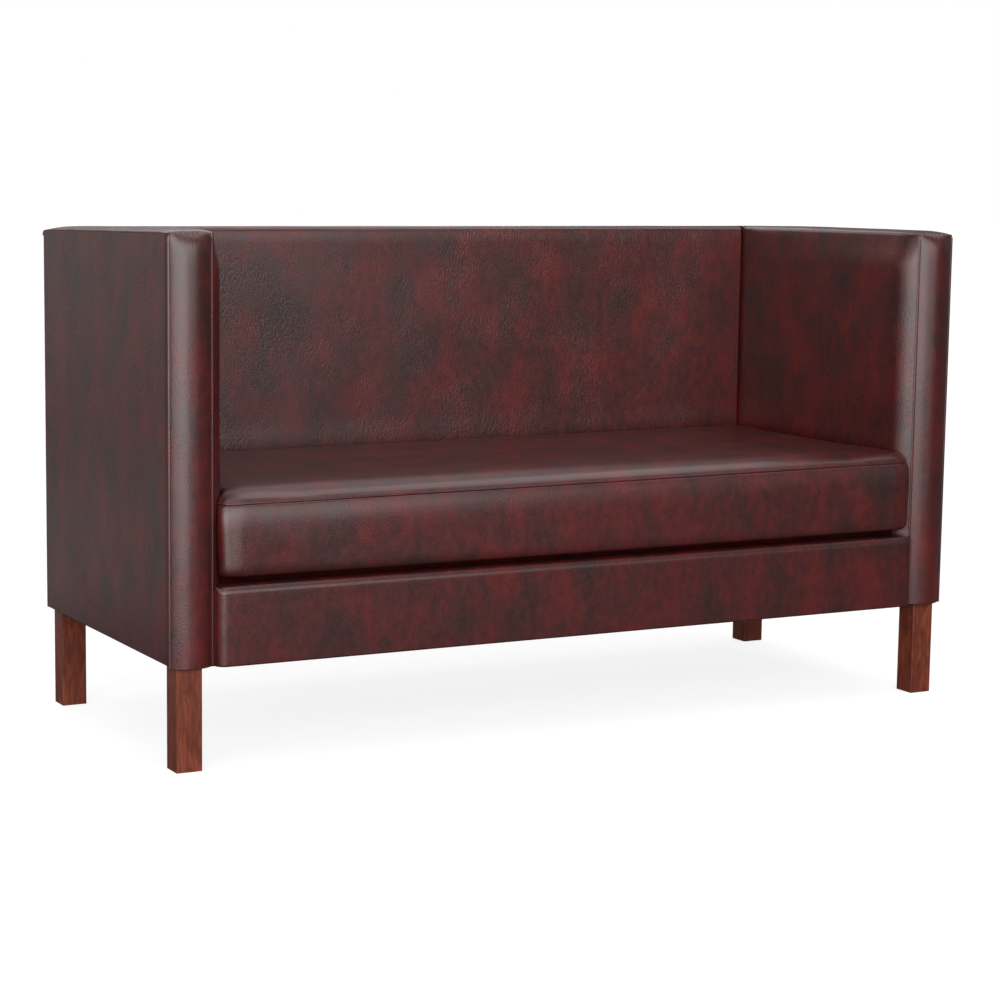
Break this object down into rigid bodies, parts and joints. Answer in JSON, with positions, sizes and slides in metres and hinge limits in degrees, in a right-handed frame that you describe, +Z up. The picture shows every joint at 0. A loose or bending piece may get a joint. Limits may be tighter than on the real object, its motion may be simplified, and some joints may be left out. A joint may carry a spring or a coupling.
{
  "type": "restaurant booth settee",
  "caption": "Free-standing box settee for a restaurant booth: flat padded arms as high as the back, loose box seat cushion, upholstered apron and square wooden legs.",
  "frame": {"origin": "on the floor, under the middle of the settee's bounding box", "axes": "+Z up, +X to the right of someone who faces the settee, +Y from its front to its back"},
  "size_m": [1.5, 0.62, 0.8489],
  "materials": {
    "oxblood_leather": "satin, mottled oxblood and near-black",
    "upholstery_foam": "soft foam with a wadding wrap",
    "frame_wood": "bare hardwood",
    "black_lining": "matt black cloth",
    "fibreboard": "bare fibreboard",
    "zinc_steel": "zinc plated",
    "stained_wood": "satin mahogany stain",
    "glide_plastic": "moulded",
    "webbing": "woven elastic belt",
    "zip_metal": "dark plated",
    "zip_tape_cloth": "woven tape with moulded teeth"
  },
  "bodies": {
    "settee": {"apron_cover": "oxblood_leather", "apron_pad": "upholstery_foam", "arm_top_cover_left": "oxblood_leather", "arm_top_cover_right": "oxblood_leather", "arm_top_pad_left": "upholstery_foam", "arm_top_pad_right": "upholstery_foam", "arm_top_rail_left": "frame_wood", "arm_top_rail_right": "frame_wood", "back_centre_post": "frame_wood", "back_pad": "upholstery_foam", "back_top_cover": "oxblood_leather", "back_top_pad": "upholstery_foam", "back_top_rail": "frame_wood", "dust_cover": "black_lining", "frame_dowels": "frame_wood", "front_band_cover_left": "oxblood_leather", "front_band_cover_right": "oxblood_leather", "front_band_pad_left": "upholstery_foam", "front_band_pad_right": "upholstery_foam", "front_post_left": "frame_wood", "front_post_right": "frame_wood", "glue_blocks": "frame_wood", "inner_arm_board_left": "fibreboard", "inner_arm_board_right": "fibreboard", "inner_back_board": "fibreboard", "inside_arm_cover_left": "oxblood_leather", "inside_arm_cover_right": "oxblood_leather", "inside_arm_pad_left": "upholstery_foam", "inside_arm_pad_right": "upholstery_foam", "inside_back_cover": "oxblood_leather", "leg_bolts": "zinc_steel", "leg_front_left": "stained_wood", "leg_front_right": "stained_wood", "leg_glides": "glide_plastic", "leg_plates": "zinc_steel", "leg_rear_left": "stained_wood", "leg_rear_right": "stained_wood", "outer_arm_board_left": "fibreboard", "outer_arm_board_right": "fibreboard", "outer_back_board": "fibreboard", "outside_arm_cover_left": "oxblood_leather", "outside_arm_cover_right": "oxblood_leather", "outside_back_cover": "oxblood_leather", "rear_post_left": "frame_wood", "rear_post_right": "frame_wood", "seat_centre_rail": "frame_wood", "seat_deck_pad": "black_lining", "seat_front_rail": "frame_wood", "seat_rear_rail": "frame_wood", "seat_side_rail_left": "frame_wood", "seat_side_rail_right": "frame_wood", "seat_webbing_long": "webbing", "seat_webbing_short": "webbing"},
    "cushion": {"cushion_foam": "upholstery_foam", "cushion_top_panel": "oxblood_leather", "cushion_boxing": "oxblood_leather", "cushion_bottom_panel": "black_lining", "zip_tape": "zip_tape_cloth"},
    "zip_slider": {"zip_slider": "zip_metal"}
  },
  "joints": [
    {"name": "cushion_lift", "type": "slide", "parent": "settee", "child": "cushion", "axis": [0, 0, 1], "range_m": [0, 0.55]},
    {"name": "zip_slide", "type": "slide", "parent": "cushion", "child": "zip_slider", "axis": [-1, 0, 0], "range_m": [0, 0.87]}
  ]
}
